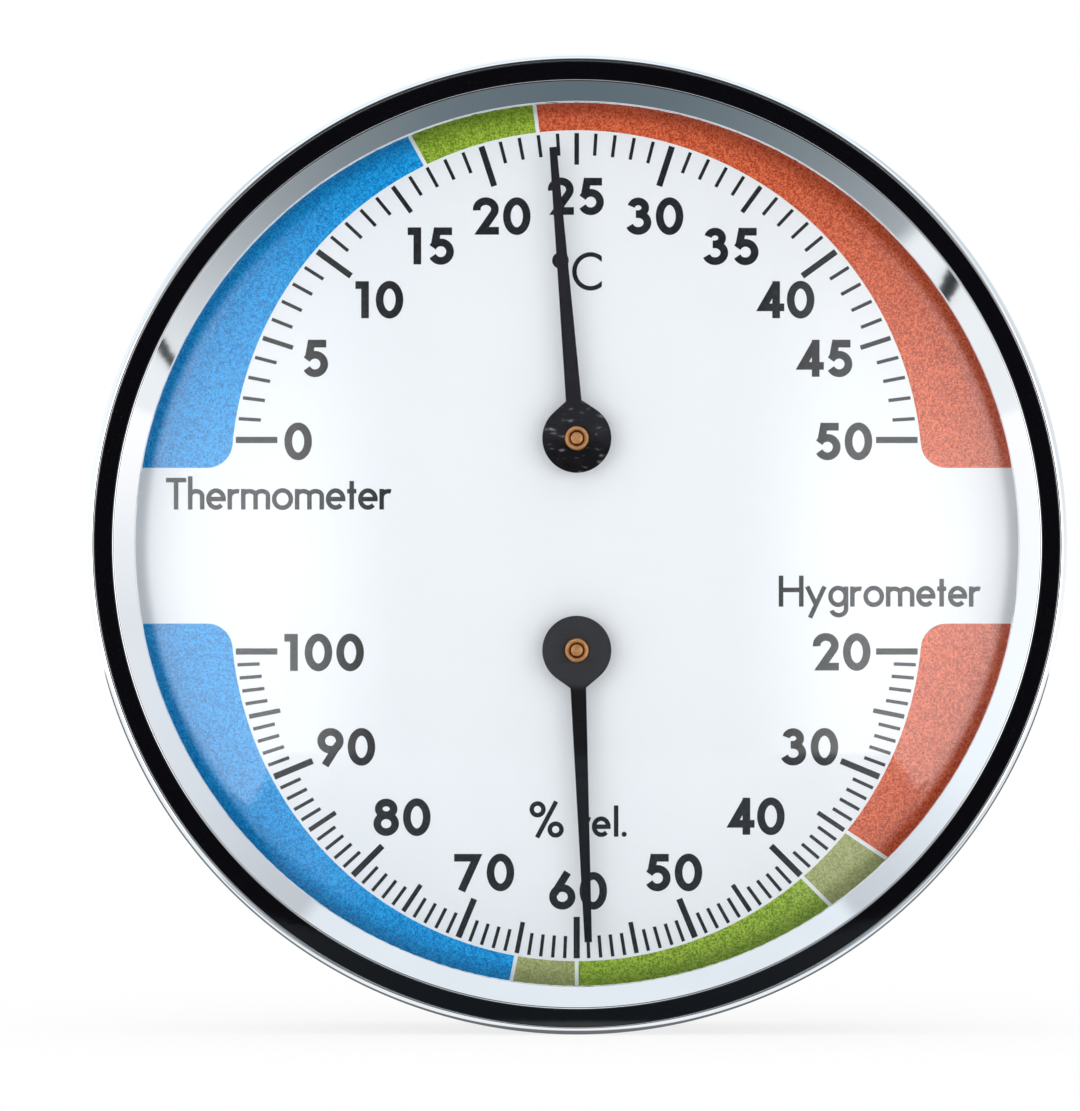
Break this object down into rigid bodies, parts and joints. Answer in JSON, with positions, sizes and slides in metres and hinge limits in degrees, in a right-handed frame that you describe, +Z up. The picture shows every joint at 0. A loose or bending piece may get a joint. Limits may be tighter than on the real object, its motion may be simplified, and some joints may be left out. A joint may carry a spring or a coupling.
{
  "type": "thermo-hygrometer",
  "caption": "Round wall instrument with a polished bezel, a domed lens and a printed dial with a temperature scale above and a humidity scale below, each with its own pointer.",
  "frame": {"origin": "centre of the flat back of the case, in the plane of the wall", "axes": "+X to the right and +Z up as one looks at the dial, +Y from the dial into the wall"},
  "size_m": [0.103, 0.024, 0.103],
  "materials": {
    "case_plastic": "fine moulded grain, black",
    "bezel_chrome": "polished",
    "band_lacquer": "gloss black",
    "lens_clear": "clear, polished",
    "spacer_plastic": "satin white",
    "dial_enamel": "satin white with printed scales",
    "pointer_paint": "satin black",
    "pivot_brass": "turned, slightly aged",
    "plate_steel": "zinc plated",
    "coil_bimetal": "rolled strip",
    "coil_foil": "coated strip"
  },
  "bodies": {
    "case": {"rear_case": "case_plastic", "bezel_ring": "bezel_chrome", "bezel_band": "band_lacquer", "lens": "lens_clear", "dial_spacer": "spacer_plastic", "dial_plate": "dial_enamel", "thermo_base_plate": "plate_steel", "thermo_screw_left": "plate_steel", "thermo_screw_right": "plate_steel", "thermo_pivot_pin": "pivot_brass", "thermo_coil": "coil_bimetal", "thermo_coil_stud": "plate_steel", "hygro_base_plate": "plate_steel", "hygro_screw_left": "plate_steel", "hygro_screw_right": "plate_steel", "hygro_friction_washer": "plate_steel"},
    "thermo_pointer": {"thermo_bush": "pivot_brass", "thermo_collet": "pivot_brass", "thermo_pointer": "pointer_paint"},
    "hygro_adjuster": {"hygro_adjuster_pin": "pivot_brass", "hygro_regulator_arm": "plate_steel", "hygro_coil": "coil_foil", "hygro_coil_stud": "plate_steel"},
    "hygro_pointer": {"hygro_bush": "pivot_brass", "hygro_collet": "pivot_brass", "hygro_pointer": "pointer_paint"}
  },
  "joints": [
    {"name": "thermo_pointer_turn", "type": "hinge", "parent": "case", "child": "thermo_pointer", "pos_m": [0, -0.019, 0.0112], "axis": [0, 1, 0], "range_deg": [-85.32, 94.68], "stiffness_Nm_per_rad": 0.0001},
    {"name": "hygro_adjuster_turn", "type": "hinge", "parent": "case", "child": "hygro_adjuster", "pos_m": [0, -0.0065, -0.0112], "axis": [0, 1, 0], "range_deg": [-20, 20]},
    {"name": "hygro_pointer_turn", "type": "hinge", "parent": "hygro_adjuster", "child": "hygro_pointer", "pos_m": [0, -0.019, -0.0112], "axis": [0, 1, 0], "range_deg": [-87.75, 92.25], "stiffness_Nm_per_rad": 0.0001}
  ]
}
